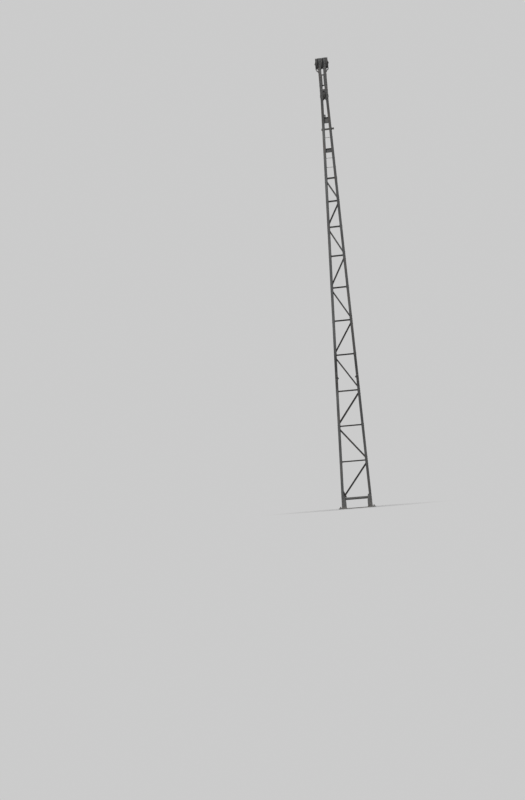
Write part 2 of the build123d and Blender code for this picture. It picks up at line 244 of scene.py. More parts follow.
def mathNode(tree, operation, a, b=0.0, clamp=False):
    node = addNode(tree, "ShaderNodeMath", operation=operation, use_clamp=clamp)
    feed(tree, node.inputs[0], a)
    feed(tree, node.inputs[1], b)
    return node.outputs[0]


def times(tree, a, b, clamp=False):
    return mathNode(tree, "MULTIPLY", a, b, clamp)


def oneMinus(tree, value, clamp=False):
    return mathNode(tree, "SUBTRACT", 1.0, value, clamp)


def bandBetween(tree, value, start, full, fade, end):
    # 1 from full to fade, and 0 before start and after end
    risen = rampBetween(tree, value, start, full)
    return mathNode(tree, "SUBTRACT", risen, rampBetween(tree, value, fade, end), True)


def atLeast(tree, mask, least):
    # squeezes a mask of 0..1 into least..1
    return mathNode(tree, "ADD", least, times(tree, mask, 1 - least))


def axisOf(tree, vector, axis):
    node = addNode(tree, "ShaderNodeSeparateXYZ")
    tree.links.new(vector, node.inputs[0])
    return node.outputs[axis]


def mixColors(tree, factor, a, b):
    node = addNode(tree, "ShaderNodeMix", data_type="RGBA")
    for socket, value in ((node.inputs[0], factor), (node.inputs[6], a), (node.inputs[7], b)):
        feed(tree, socket, value)
    return node.outputs[2]


def coat(tree, color, mask, share, over):
    # lays a colour over another where the mask is
    return mixColors(tree, times(tree, mask, share), color, over)


def noiseAt(tree, vector, scale, detail, rough, stretch=None):
    # noise on a vector, squeezed by stretch on X, Y and Z first
    if stretch:
        mapping = addNode(tree, "ShaderNodeMapping")
        mapping.inputs["Scale"].default_value = stretch
        tree.links.new(vector, mapping.inputs["Vector"])
        vector = mapping.outputs["Vector"]
    node = addNode(tree, "ShaderNodeTexNoise")
    setInputs(node, Detail=detail, Roughness=rough)
    feed(tree, node.inputs["Scale"], scale)
    tree.links.new(vector, node.inputs["Vector"])
    return node.outputs["Fac"]


def patches(tree, vector, noise, amount=0.0, spread=(1.0, 1.0), stretch=None):
    # mask of a noise: its scale, detail, roughness, and the values for 0 and 1, which amount lowers
    scale, detail, rough, low, high = noise
    value = noiseAt(tree, vector, scale, detail, rough, stretch)
    return rampBetween(tree, value, low - amount * spread[0], high - amount * spread[1])


edgeLook = {"bendFrom": 0.015, "bendTo": 0.11, "chips": (42.0, 6.0, 0.65, 0.42, 0.62), "samples": 4,
            "rounding": 0.0015}


def buildEdgeWear():
    # mask of worn outer edges, broken up by noise
    group, given, out = newGroup("edgeWear", "Mask", Width=0.004, Amount=0.5)
    bevel = addNode(group, "ShaderNodeBevel", samples=edgeLook["samples"])
    group.links.new(given.outputs["Width"], bevel.inputs["Radius"])
    geometry = addNode(group, "ShaderNodeNewGeometry")
    facing = addNode(group, "ShaderNodeVectorMath", operation="DOT_PRODUCT")
    group.links.new(bevel.outputs["Normal"], facing.inputs[0])
    group.links.new(geometry.outputs["Normal"], facing.inputs[1])
    turned = oneMinus(group, facing.outputs["Value"])
    bend = rampBetween(group, turned, edgeLook["bendFrom"], edgeLook["bendTo"])
    broken = times(group, bend, patches(group, given.outputs["Vector"], edgeLook["chips"]))
    group.links.new(times(group, broken, given.outputs["Amount"], True), out.inputs["Mask"])
    return group


streakLook = {"fine": (30.0, 5.0, 0.6, 0.47, 0.68), "squeeze": (1.0, 1.0, 0.035),
              "patches": (1.7, 3.0, 0.5, 0.38, 0.62)}


def buildRainStreaks():
    # mask of long runs down the mast
    group, given, out = newGroup("rainStreaks", "Mask", Scale=1.0)
    scaled = addNode(group, "ShaderNodeVectorMath", operation="SCALE")
    group.links.new(given.outputs["Vector"], scaled.inputs[0])
    group.links.new(given.outputs["Scale"], scaled.inputs["Scale"])
    thin = patches(group, scaled.outputs[0], streakLook["fine"], stretch=streakLook["squeeze"])
    wide = patches(group, scaled.outputs[0], streakLook["patches"])
    group.links.new(times(group, thin, wide), out.inputs["Mask"])
    return group


dustLook = {"flatFrom": 0.35, "flatTo": 0.95, "groundShare": 0.8, "mottle": (9.0, 5.0, 0.55, 0.3, 0.7),
            "least": 0.35}


def buildDustFilm():
    # mask of dust on faces that look up, and near the ground
    group, given, out = newGroup("dustFilm", "Mask", Ground=0.5, Amount=0.6)
    normal = addNode(group, "ShaderNodeNewGeometry").outputs["Normal"]
    upward = rampBetween(group, axisOf(group, normal, "Z"), dustLook["flatFrom"], dustLook["flatTo"])
    rise = mathNode(group, "DIVIDE", axisOf(group, given.outputs["Vector"], "Z"), given.outputs["Ground"])
    low = times(group, oneMinus(group, rise, True), dustLook["groundShare"])
    mottled = atLeast(group, patches(group, given.outputs["Vector"], dustLook["mottle"]), dustLook["least"])
    film = times(group, mathNode(group, "ADD", upward, low, True), mottled)
    group.links.new(times(group, film, given.outputs["Amount"], True), out.inputs["Mask"])
    return group


grainLook = {"grain": (3.0, 0.6), "lumps": (2.0, 0.5), "grainShare": 0.35}


def buildFineGrain():
    # height of brushed paint over scale, or of a cast skin
    group, given, out = newGroup("fineGrain", "Height", Scale=300.0, Lumps=30.0)
    grain = noiseAt(group, given.outputs["Vector"], given.outputs["Scale"], *grainLook["grain"])
    lumps = noiseAt(group, given.outputs["Vector"], given.outputs["Lumps"], *grainLook["lumps"])
    fine = times(group, grain, grainLook["grainShare"])
    group.links.new(mathNode(group, "ADD", fine, lumps), out.inputs["Height"])
    return group


# look of the dirt and painted shade in crevices
creviceDirtAndShadeLook = {"samples": 6, "from": 0.12, "to": 0.62, "ragged": (26.0, 6.0, 0.7, 0.25, 0.6), "least": 0.3}


def buildCreviceDirtAndShade():
    # mask of dirt and painted shade that gathers in corners, round rivets and along seams, where ambient
    # occlusion finds the surface closed in
    group, given, out = newGroup("creviceDirtAndShade", "Mask", Reach=0.03, Amount=0.7)
    hollow = addNode(group, "ShaderNodeAmbientOcclusion", samples=creviceDirtAndShadeLook["samples"])
    group.links.new(given.outputs["Reach"], hollow.inputs["Distance"])
    closed = oneMinus(group, hollow.outputs["AO"], True)
    depth = rampBetween(group, closed, creviceDirtAndShadeLook["from"], creviceDirtAndShadeLook["to"])
    ragged = patches(group, given.outputs["Vector"], creviceDirtAndShadeLook["ragged"])
    dirtAndShade = times(group, depth, atLeast(group, ragged, creviceDirtAndShadeLook["least"]))
    group.links.new(times(group, dirtAndShade, given.outputs["Amount"], True), out.inputs["Mask"])
    return group


edgeWear = buildEdgeWear()
creviceDirtAndShade = buildCreviceDirtAndShade()
rainStreaks = buildRainStreaks()
dustFilm = buildDustFilm()
fineGrain = buildFineGrain()


def placeGroup(tree, group, coords, **values):
    node = addNode(tree, "ShaderNodeGroup", node_tree=group)
    setInputs(node, **values)
    tree.links.new(coords, node.inputs["Vector"])
    return node.outputs[0]


def startMaterial(name):
    material = bpy.data.materials.new(name)
    material.use_nodes = True
    tree = material.node_tree
    shader = tree.nodes["Principled BSDF"]
    coords = addNode(tree, "ShaderNodeTexCoord").outputs["Object"]
    return material, tree, shader, coords


def surfaceNormal(tree, shader, height, strength, distance):
    # bump over slightly rounded edges
    bevel = addNode(tree, "ShaderNodeBevel", samples=edgeLook["samples"])
    bevel.inputs["Radius"].default_value = edgeLook["rounding"]
    bump = addNode(tree, "ShaderNodeBump")
    setInputs(bump, Strength=strength, Distance=distance)
    tree.links.new(height, bump.inputs["Height"])
    tree.links.new(bevel.outputs["Normal"], bump.inputs["Normal"])
    tree.links.new(bump.outputs["Normal"], shader.inputs["Normal"])


grimeAndShadeLook = {
    "grease": (14.3, 15.1, 16.55, 17.0),  # heights of the band that grease from the sheaves darkens
    "greaseShare": 0.80,
    "tar": (4.50, 4.75, 5.80, 6.05),  # heights of the tar paint that the splice was touched up with
    "tarShare": 0.95,
    "middle": 0.03,  # the painted shade on the right leg comes in over this much each side of the middle
    "smoke": (7.2, 9.4),  # smoke blackens the lacing below the first height, and ends at the second
    "thickest": 1.15,
    "clouds": 0.3,
    # dark colour for tar, grease and smoke, also used for the painted shade on the right leg
    "sootAndShade": (0.013, 0.013, 0.013, 1.0),
}


def addGrimeAndShade(tree, coords, color, fade, grease, rightLegShade, sootLow):
    # grease by height, tar on the legs, painted shade that darkens the right leg, smoke on the lacing
    look = grimeAndShadeLook
    height = axisOf(tree, coords, "Z")
    greasy = bandBetween(tree, height, *look["grease"])
    color = coat(tree, color, greasy, look["greaseShare"] * grease,
                 look["sootAndShade"] if rightLegShade > 0 else paintLook["dark"])
    cloudy = mathNode(tree, "SUBTRACT", look["thickest"], times(tree, fade, look["clouds"]))
    # painted shade: the right leg darker than the left, in clouds
    if rightLegShade > 0:
        tar = times(tree, bandBetween(tree, height, *look["tar"]), look["tarShare"])
        right = rampBetween(tree, axisOf(tree, coords, "X"), -look["middle"], look["middle"])
        rightShade = times(tree, times(tree, right, rightLegShade), cloudy)
        color = mixColors(tree, mathNode(tree, "MAXIMUM", rightShade, tar), color, look["sootAndShade"])
    if sootLow > 0:
        smoky = times(tree, oneMinus(tree, rampBetween(tree, height, *look["smoke"])), sootLow)
        color = mixColors(tree, times(tree, smoky, cloudy), color, look["sootAndShade"])
    return color


paintLook = {
    "fresh": (0.053, 0.056, 0.057, 1.0),
    "faded": (0.086, 0.089, 0.088, 1.0),
    "dark": (0.028, 0.029, 0.029, 1.0),
    "rust": (0.074, 0.045, 0.032, 1.0),
    "stain": (0.094, 0.061, 0.042, 1.0),
    "dirtAndShade": (0.026, 0.022, 0.019, 1.0),
    "dust": (0.185, 0.176, 0.162, 1.0),
    "bare": (0.15, 0.146, 0.14, 1.0),
    "fade": (1.1, 5.0, 0.6, 0.40, 0.66),
    "mottle": (14.0, 6.0, 0.7, 0.46, 0.74),
    "mottleShare": 0.6,
    "streakShare": 0.75,
    "stainScale": 0.77,
    "stainShare": 0.55,
    "dirtAndShadeReach": 0.03,
    "dirtAndShadeShare": 0.75,
    "pits": (33.0, 8.0, 0.75, 0.60, 0.68),
    "zones": (2.3, 2.0, 0.55, 0.46, 0.60),
    "edgeWidth": 0.006,
    "spots": (90.0, 4.0, 0.55, 0.52, 0.60),  # where worn edges are down to bare steel
    "bareMetal": 0.8,
    "roughness": 0.46,
    "mottleRough": 0.16,
    "dustRough": 0.25,
    "grain": 260.0,
    "lumps": 24.0,
    "lost": 0.5,  # how far chips and rust lie below the paint
    "bump": 0.5,
    "bumpDepth": 0.0012,
}


def buildPaint(name, wear, dust, ground, fadeShift=0.0, grease=1.0, rightLegShade=0.0, sootLow=0.0):
    # dark grey oil paint on steel, faded, streaked, chipped at its edges
    material, tree, shader, coords = startMaterial(name)
    look = paintLook
    fade = patches(tree, coords, look["fade"], fadeShift)
    mottle = patches(tree, coords, look["mottle"])
    streaks = placeGroup(tree, rainStreaks, coords, Scale=1.0)
    runs = placeGroup(tree, rainStreaks, coords, Scale=look["stainScale"])
    # dirt and painted shade where ambient occlusion finds corners and seams
    dirtAndShade = placeGroup(tree, creviceDirtAndShade, coords, Reach=look["dirtAndShadeReach"], Amount=look["dirtAndShadeShare"])
    edges = placeGroup(tree, edgeWear, coords, Width=look["edgeWidth"], Amount=wear)
    film = placeGroup(tree, dustFilm, coords, Ground=ground, Amount=dust)
    rust = times(tree, patches(tree, coords, look["pits"]), patches(tree, coords, look["zones"]))
    worn = mathNode(tree, "MAXIMUM", rust, edges)
    bare = times(tree, edges, patches(tree, coords, look["spots"]))
    color = mixColors(tree, fade, look["fresh"], look["faded"])
    color = coat(tree, color, mottle, look["mottleShare"], look["dark"])
    color = coat(tree, color, streaks, look["streakShare"], look["dark"])
    color = addGrimeAndShade(tree, coords, color, fade, grease, rightLegShade, sootLow)
    # crevices darkened to a near-black: dirt and painted shade
    color = mixColors(tree, dirtAndShade, color, look["dirtAndShade"])
    color = coat(tree, color, runs, look["stainShare"], look["stain"])
    color = mixColors(tree, worn, color, look["rust"])
    color = mixColors(tree, bare, color, look["bare"])
    color = mixColors(tree, film, color, look["dust"])
    tree.links.new(color, shader.inputs["Base Color"])
    rough = mathNode(tree, "ADD", look["roughness"], times(tree, mottle, look["mottleRough"]))
    matt = times(tree, mathNode(tree, "MAXIMUM", rust, film), look["dustRough"])
    tree.links.new(mathNode(tree, "ADD", rough, matt, True), shader.inputs["Roughness"])
    tree.links.new(times(tree, bare, look["bareMetal"]), shader.inputs["Metallic"])
    grain = placeGroup(tree, fineGrain, coords, Scale=look["grain"], Lumps=look["lumps"])
    height = mathNode(tree, "SUBTRACT", grain, times(tree, worn, look["lost"]))
    surfaceNormal(tree, shader, height, look["bump"], look["bumpDepth"])
    return material


steelLook = {
    "clean": (0.30, 0.295, 0.285, 1.0),
    "grease": (0.045, 0.042, 0.038, 1.0),
    "rust": (0.085, 0.058, 0.043, 1.0),
    "marks": (22.0, 4.0, 0.6),
    "blots": (17.0, 5.0, 0.65, 0.62, 0.75),
    "blotSpread": (0.35, 0.2),
    "specks": (55.0, 7.0, 0.7, 0.66, 0.74),
    "speckSpread": (0.3, 0.2),
    "greaseShare": 0.85,
    "metal": 0.85,
    "dullShare": 0.8,
    "roughness": 0.62,
    "shineShare": 0.4,
    "markRough": 0.22,
    "rustRough": 0.25,
    "bump": 0.35,
    "bumpDepth": 0.0006,
}


def buildSteel(name, greased, rusted, shine, scratch=(1.0, 40.0, 40.0)):
    # bare steel dulled by grease and rust, with turning or rubbing marks
    material, tree, shader, coords = startMaterial(name)
    look = steelLook
    marks = noiseAt(tree, coords, *look["marks"], scratch)
    grease = patches(tree, coords, look["blots"], greased, look["blotSpread"])
    rust = patches(tree, coords, look["specks"], rusted, look["speckSpread"])
    color = mixColors(tree, rust, look["clean"], look["rust"])
    color = coat(tree, color, grease, look["greaseShare"], look["grease"])
    tree.links.new(color, shader.inputs["Base Color"])
    dull = times(tree, mathNode(tree, "MAXIMUM", rust, grease), look["dullShare"])
    tree.links.new(mathNode(tree, "SUBTRACT", look["metal"], dull, True), shader.inputs["Metallic"])
    smooth = look["roughness"] - shine * look["shineShare"]
    rough = mathNode(tree, "ADD", smooth, times(tree, marks, look["markRough"]))
    rough = mathNode(tree, "ADD", rough, times(tree, rust, look["rustRough"]), True)
    tree.links.new(rough, shader.inputs["Roughness"])
    surfaceNormal(tree, shader, mathNode(tree, "ADD", marks, rust), look["bump"], look["bumpDepth"])
    return material


ironLook = {
    "skin": (0.030, 0.030, 0.031, 1.0),
    "pale": (0.054, 0.053, 0.052, 1.0),
    "polish": (0.115, 0.112, 0.108, 1.0),
    "grease": (0.022, 0.021, 0.020, 1.0),
    "clouds": (12.0, 6.0, 0.65, 0.35, 0.7),
    "grooveDepth": 0.024,
    "footEdge": 0.004,
    "rimEdge": 0.012,
    "halfGroove": (0.026, 0.031),  # distances from the sheave's middle between which the polish ends
    "rubbed": (30.0, 4.0, 0.55, 0.3, 0.55),
    "hub": (0.045, 0.085),  # radii between which the hub's grease ends
    "greaseShare": 0.8,
    "edgeWidth": 0.005,
    "edgeAmount": 0.7,
    "polishMetal": 0.6,
    "roughness": 0.66,
    "polishSmooth": 0.24,
    "polishFlat": 0.8,
    "grain": 220.0,
    "lumps": 70.0,
    "bump": 0.6,
    "bumpDepth": 0.0015,
}


def buildSheaveIron(name, centre, rim):
    # rough cast iron, polished by use in the groove
    material, tree, shader, coords = startMaterial(name)
    look = ironLook
    mapping = addNode(tree, "ShaderNodeMapping")
    mapping.inputs["Location"].default_value = -centre
    tree.links.new(coords, mapping.inputs["Vector"])
    flat = addNode(tree, "ShaderNodeVectorMath", operation="MULTIPLY")
    flat.inputs[1].default_value = (0.0, 1.0, 1.0)
    tree.links.new(mapping.outputs["Vector"], flat.inputs[0])
    length = addNode(tree, "ShaderNodeVectorMath", operation="LENGTH")
    tree.links.new(flat.outputs[0], length.inputs[0])
    radius = length.outputs["Value"]
    offset = mathNode(tree, "ABSOLUTE", axisOf(tree, mapping.outputs["Vector"], "X"))
    foot = rim - look["grooveDepth"]
    groove = bandBetween(tree, radius, foot - look["footEdge"], foot, rim - look["rimEdge"], rim)
    groove = times(tree, groove, oneMinus(tree, rampBetween(tree, offset, *look["halfGroove"])))
    rubbed = times(tree, groove, patches(tree, coords, look["rubbed"]))
    hubGrease = oneMinus(tree, rampBetween(tree, radius, *look["hub"]))
    edges = placeGroup(tree, edgeWear, coords, Width=look["edgeWidth"], Amount=look["edgeAmount"])
    metal = mathNode(tree, "MAXIMUM", rubbed, edges)
    color = mixColors(tree, patches(tree, coords, look["clouds"]), look["skin"], look["pale"])
    color = coat(tree, color, hubGrease, look["greaseShare"], look["grease"])
    color = mixColors(tree, metal, color, look["polish"])
    tree.links.new(color, shader.inputs["Base Color"])
    tree.links.new(times(tree, metal, look["polishMetal"]), shader.inputs["Metallic"])
    rough = mathNode(tree, "SUBTRACT", look["roughness"], times(tree, metal, look["polishSmooth"]))
    tree.links.new(rough, shader.inputs["Roughness"])
    grain = placeGroup(tree, fineGrain, coords, Scale=look["grain"], Lumps=look["lumps"])
    height = times(tree, grain, oneMinus(tree, times(tree, metal, look["polishFlat"])))
    surfaceNormal(tree, shader, height, look["bump"], look["bumpDepth"])
    return material


mastPaint = buildPaint("mastPaint", wear=0.75, dust=0.35, ground=0.6)
# the legs' paint, with painted shade that darkens the right leg
legPaint = buildPaint("legPaint", wear=0.75, dust=0.35, ground=0.6, rightLegShade=0.45)
lacingPaint = buildPaint("lacingPaint", wear=0.85, dust=0.35, ground=0.6, fadeShift=0.05, sootLow=0.8)
# a lighter copy of the paint for the tie beam: painted light on its recessed web
beamPaintLit = buildPaint("beamPaintLit", wear=0.85, dust=0.5, ground=0.6, fadeShift=0.25, grease=0.1)
footPaint = buildPaint("footPaint", wear=0.9, dust=0.75, ground=0.5)
pinSteel = buildSteel("pinSteel", greased=0.8, rusted=0.1, shine=0.6)
rodSteel = buildSteel("rodSteel", greased=1.5, rusted=0.1, shine=0.35)
fixingSteel = buildSteel("fixingSteel", greased=0.2, rusted=0.75, shine=0.2)
rungSteel = buildSteel("rungSteel", greased=0.0, rusted=0.55, shine=0.5, scratch=(30.0, 30.0, 6.0))
print("materials ready")

slotMaterials = {
    "mast_paint": mastPaint, "foot_paint": footPaint, "pins": pinSteel, "fixings": fixingSteel,
    "rung_steel": rungSteel,
}
for part in frame["record"]["subparts"]:
    node = nodes[part["node"]]
    slotName = part["material_slot"]
    if slotName == "sheave_iron":
        low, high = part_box(part["node"])
        finish = buildSheaveIron("iron_" + part["node"], (low + high) / 2, (high.z - low.z) / 2)
    elif "struts" in part["node"] or "diagonals" in part["node"] or "gussets" in part["node"]:
        finish = lacingPaint
    elif part["node"].startswith(("leg_", "splice_")):
        finish = legPaint
    elif part["node"] == "head_tie_beam":
        finish = beamPaintLit
    elif part["node"] == "rope_guide_rod":
        finish = rodSteel
    else:
        finish = slotMaterials[slotName]
    node.data.materials.clear()
    node.data.materials.append(finish)
print("CAD nodes painted")


# Patterns that are copied: a snap-headed rivet and a hexagon nut on its washer
def addCylinder(sides, radius, height, foot=0.0):
    # upright cylinder that stands at the height foot
    bpy.ops.mesh.primitive_cylinder_add(
        vertices=sides, radius=radius, depth=height, location=(0, 0, foot + height / 2),
    )
    applyPlace(bpy.context.object)
    return bpy.context.object


def pullUp(piece, height, steps):
    # raises and widens the top in steps, which are shares of the height and of the width
    editMode(piece)
    selectFaces(piece, lookingUp)
    for rise, share in steps:
        bpy.ops.mesh.extrude_region_move(TRANSFORM_OT_translate={"value": (0, 0, height * rise)})
        bpy.ops.transform.resize(value=(share, share, 1))
    objectMode()


def chamferTop(piece, inward, upward):
    editMode(piece)
    selectFaces(piece, lookingUp)
    bpy.ops.mesh.inset(thickness=inward, depth=upward)
    objectMode()


rivetSize = {"radius": 0.0125, "height": 0.0085, "sides": 10}
dome = {"foot": 0.4, "steps": ((0.36, 0.82), (0.24, 0.5))}


def makeRivet(size):
    # domed head standing on z = 0
    rivet = addCylinder(size["sides"], size["radius"], size["height"] * dome["foot"])
    rivet.name = "rivet"
    pullUp(rivet, size["height"], dome["steps"])
    return rivet


boltSizes = {
    "small": {"across": 0.019, "head": 0.010, "washer": 0.012, "washerThickness": 0.0025, "stud": 0.006,
              "standOut": 0.006},
    "middle": {"across": 0.024, "head": 0.013, "washer": 0.015, "washerThickness": 0.003, "stud": 0.008,
               "standOut": 0.008},
    "anchor": {"across": 0.036, "head": 0.019, "washer": 0.022, "washerThickness": 0.004, "stud": 0.012,
               "standOut": 0.022},
}
boltShape = {"washerSides": 16, "studSides": 10, "nutInward": 0.07, "nutUpward": 0.1, "studTip": 0.2}


def makeBolt(size):
    # nut on a washer, with the end of the stud standing out
    washer = addCylinder(boltShape["washerSides"], size["washer"], size["washerThickness"])
    nut = addCylinder(6, size["across"] / 2 / math.cos(math.pi / 6), size["head"], size["washerThickness"])
    chamferTop(nut, size["across"] * boltShape["nutInward"], size["head"] * boltShape["nutUpward"])
    nutTop = size["washerThickness"] + size["head"] * (1 + boltShape["nutUpward"])
    stud = addCylinder(boltShape["studSides"], size["stud"], size["standOut"], nutTop)
    chamferTop(stud, size["stud"] * boltShape["studTip"], size["stud"] * boltShape["studTip"])
    bolt = joinPieces([washer, nut, stud])
    bolt.name = "bolt"
    return bolt


rivet = makeRivet(rivetSize)
smallBolt = makeBolt(boltSizes["small"])
middleBolt = makeBolt(boltSizes["middle"])
anchorBolt = makeBolt(boltSizes["anchor"])
print("rivet and bolt patterns made")


# Rivets through the gussets, into the webs and through the ends of the bars
gussetRivets = {"line": 0.028, "pitch": 0.078, "end": 0.030, "plate": 0.006}


def gussetPlaces(points):
    # heads on the web's outer face, and on the gusset's flange inside
    low, high = lowHigh(points, 2)
    side = 1 if points[0].x > 0 else -1
    sign = 1 if sum(p.y for p in points) > 0 else -1
    free = high - low - 2 * gussetRivets["end"]
    count = max(1, round(free / gussetRivets["pitch"])) + 1
    places = []
    for i in range(count):
        z = low + gussetRivets["end"] + i * free / (count - 1)
        out = outward(side, z)
        y = sign * gussetRivets["line"]
        places.append(seat((side * halfWidth(z), y, z), out))
        inside = halfWidth(z) - channel["web"] - gussetRivets["plate"]
        places.append(seat((side * inside, y, z), -out))
    return places


barRivets = {"first": 0.022, "pitch": 0.034, "count": 2, "barWidth": 0.1, "flush": 0.0005}


def barPlaces(points):
    # heads along both ends of a bar's flat leg
    nearest = min(abs(p.y) for p in points)
    limit = nearest + barRivets["flush"]
    thick = min(abs(p.y) for p in points if abs(p.y) > limit)
    sign = 1 if points[0].y > 0 else -1
    flush = [p for p in points if abs(p.y) < limit]
    start, end = max(((a, b) for a in flush for b in flush), key=lambda pair: (pair[1] - pair[0]).length)
    start = sum((p for p in flush if (p - start).length < barRivets["barWidth"]), Vector()) / 2
    end = sum((p for p in flush if (p - end).length < barRivets["barWidth"]), Vector()) / 2
    along = (end - start).normalized()
    places = []
    for i in range(barRivets["count"]):
        reach = barRivets["first"] + i * barRivets["pitch"]
        for point in (start + along * reach, end - along * reach):
            places.append(seat((point.x, sign * thick, point.z), (0, sign, 0)))
    return places


def lacingRivets(face):
    places = []
    for points in solidsOf(face + "_gussets"):
        places += gussetPlaces(points)
    for kind in ("_struts", "_diagonals"):
        for points in solidsOf(face + kind):
            places += barPlaces(points)
    return dress(joinCopies(rivet, places), face + "_lacing_rivets", mastBody, lacingPaint)


for face in ("front", "rear"):
    lacingRivets(face)
print("lacing rivets placed")

# Rivets that hold the head's cheek plates on the channels' flanges
cheekRivets = {"columns": (0.024, 0.070), "pitch": 0.098, "end": 0.035}


def headRivets(face):
    low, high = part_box("head_cheeks_" + face)
    sign = -1 if face == "front" else 1
    y = low.y if face == "front" else high.y
    free = high.z - low.z - 2 * cheekRivets["end"]
    count = round(free / cheekRivets["pitch"]) + 1
    places = []
    for i in range(count):
        z = low.z + cheekRivets["end"] + i * free / (count - 1)
        for side in (-1, 1):
            for column in cheekRivets["columns"]:
                places.append(seat((side * (high.x - column), y, z), (0, sign, 0)))
    return dress(joinCopies(rivet, places), face + "_head_rivets", mastBody, mastPaint)


for face in ("front", "rear"):
    headRivets(face)
print("head rivets placed")

# Bolts through the fishplates and the end plates at the splice
spliceBolts = {"spread": 0.017, "rows": (-0.155, -0.062, 0.062, 0.155), "endPlate": 0.012, "across": 0.042,
               "reach": 0.028}


def boltSplice(side, sideName):
    low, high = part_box("splice_plates_" + sideName)
    places = []
    for row in spliceBolts["rows"]:
        z = spliceZ + row
        centre = halfWidth(z) - channel["width"] / 2
        for spread in (-1, 1):
            x = side * (centre + spread * spliceBolts["spread"])
            places.append(seat((x, low.y, z), (0, -1, 0)))
            places.append(seat((x, high.y, z), (0, 1, 0)))
    toeX = halfWidth(spliceZ) - channel["width"]
    for x in (toeX - spliceBolts["reach"] / 2, toeX + spliceBolts["across"]):
        for y in (-spliceBolts["across"], spliceBolts["across"]):
            places.append(seat((side * x, y, spliceZ + spliceBolts["endPlate"]), (0, 0, 1)))
            places.append(seat((side * x, y, spliceZ - spliceBolts["endPlate"]), (0, 0, -1)))
    return dress(joinCopies(middleBolt, places), "splice_bolts_" + sideName, mastBody, fixingSteel)


# Bolts through the shoes' cheeks into the channels, and the anchor bolts beside them
shoeBolts = {"columns": (0.026, 0.072), "rows": (0.06, 0.17, 0.28, 0.40)}


def boltShoe(side, sideName):
    places = []
    for row in shoeBolts["rows"]:
        z = footZ + row
        for column in shoeBolts["columns"]:
            for sign in (-1, 1):
                places.append(seat((side * (halfWidth(z) - column), sign * plateY, z), (0, sign, 0)))
    bolts = joinCopies(middleBolt, places)
    return dress(bolts, "shoe_bolts_" + sideName, mastBody, fixingSteel)


def anchorBolts(sideName):
    mount = next(m for m in frame["record"]["mounts"] if m["name"] == "anchor_holes_" + sideName)
    centre = mount["pos_m"]
    dims = mount["dims"]
    places = []
    for alongX in (-0.5, 0.5):
        for alongY in (-0.5, 0.5):
            x = centre[0] + alongX * dims["spacing_x_mm"] / 1000
            y = centre[1] + alongY * dims["spacing_y_mm"] / 1000
            places.append(seat((x, y, footZ), (0, 0, 1)))
    return dress(joinCopies(anchorBolt, places), "anchor_bolts_" + sideName, mastBody, fixingSteel)


for side, sideName in ((-1, "left"), (1, "right")):
    boltSplice(side, sideName)
    boltShoe(side, sideName)
    anchorBolts(sideName)
print("splices and shoes bolted")

# What shows on the webs' outer faces: rung and spacer ends, guard bolts and pin keepers
rungEnd = {"radius": 0.014, "height": 0.008, "sides": 14}
spacerEnd = {"radius": 0.020, "height": 0.009, "sides": 20}


def tubeEnds(nodeName, size, name):
    # riveted-over ends of what runs between the webs
    head = makeRivet(size)
    places = []
    for points in solidsOf(nodeName):
        low, high = lowHigh(points, 2)
        z = (low + high) / 2
        for side in (-1, 1):
            places.append(seat((side * halfWidth(z), 0, z), outward(side, z)))
    piece = joinCopies(head, places)
    discard(head)
    return dress(piece, name, mastBody, mastPaint)


guardBolts = {"spread": 0.026, "up": 0.026, "strap": 0.010}


def guardFixings(side, sideName):
    low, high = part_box("rope_guard_" + sideName)
    foot = headX + guardBolts["strap"]
    places = []
    for spread in (-guardBolts["spread"], guardBolts["spread"]):
        places.append(seat((side * foot, spread, low.z + guardBolts["up"]), (side, 0, 0)))
    return dress(joinCopies(smallBolt, places), "guard_bolts_" + sideName, mastBody, fixingSteel)


keeper = {"length": 0.105, "height": 0.030, "thickness": 0.006, "rivet": 0.034, "round": 0.002, "gap": 0.001}


def makeKeeper(side, sideName):
    # flat bar under the pin's collar, with a rivet at each end
    low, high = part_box("lower_sheave_pin")
    z = low.z - keeper["gap"] - keeper["height"] / 2
    bpy.ops.mesh.primitive_cube_add(size=1, location=(side * (headX + keeper["thickness"] / 2), 0, z))
    bar = bpy.context.object
    bar.scale = (keeper["thickness"], keeper["length"], keeper["height"])
    applyPlace(bar)
    applyBevel(bar, keeper["round"])
    dress(bar, "pin_keeper_" + sideName, mastBody, mastPaint)
    places = []
    for y in (-keeper["rivet"], keeper["rivet"]):
        places.append(seat((side * (headX + keeper["thickness"]), y, z), (side, 0, 0)))
    return dress(joinCopies(rivet, places), "keeper_rivets_" + sideName, mastBody, mastPaint)


greaseCup = {"hex": 0.011, "hexHeight": 0.007, "radius": 0.011, "height": 0.016}
nipple = {"hex": 0.007, "hexHeight": 0.005, "radius": 0.004, "height": 0.012}
cupShape = {"sides": 16, "neck": 0.55, "neckHeight": 0.25,
            "steps": ((0.12, 1.8), (0.40, 1.0), (0.15, 0.8), (0.08, 0.4))}


def makeCup(size):
    # grease cup or nipple: a hexagon foot and a turned, domed body
    foot = addCylinder(6, size["hex"], size["hexHeight"])
    body = addCylinder(cupShape["sides"], size["radius"] * cupShape["neck"],
                       size["height"] * cupShape["neckHeight"], size["hexHeight"])
    pullUp(body, size["height"], cupShape["steps"])
    cup = joinPieces([foot, body])
    cup.name = "cup"
    return cup


def axleCups():
    cup = makeCup(greaseCup)
    low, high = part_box("head_axle")
    middle = (low.z + high.z) / 2
    places = [seat((low.x, 0, middle), (-1, 0, 0)), seat((high.x, 0, middle), (1, 0, 0))]
    piece = joinCopies(cup, places)
    discard(cup)
    return dress(piece, "axle_grease_cups", mastBody, pinSteel)


tubeEnds("upper_rungs", rungEnd, "rung_ends")
tubeEnds("head_spacers", spacerEnd, "spacer_ends")
axleCups()
for side, sideName in ((-1, "left"), (1, "right")):
    guardFixings(side, sideName)
    makeKeeper(side, sideName)
print("head fixings placed")

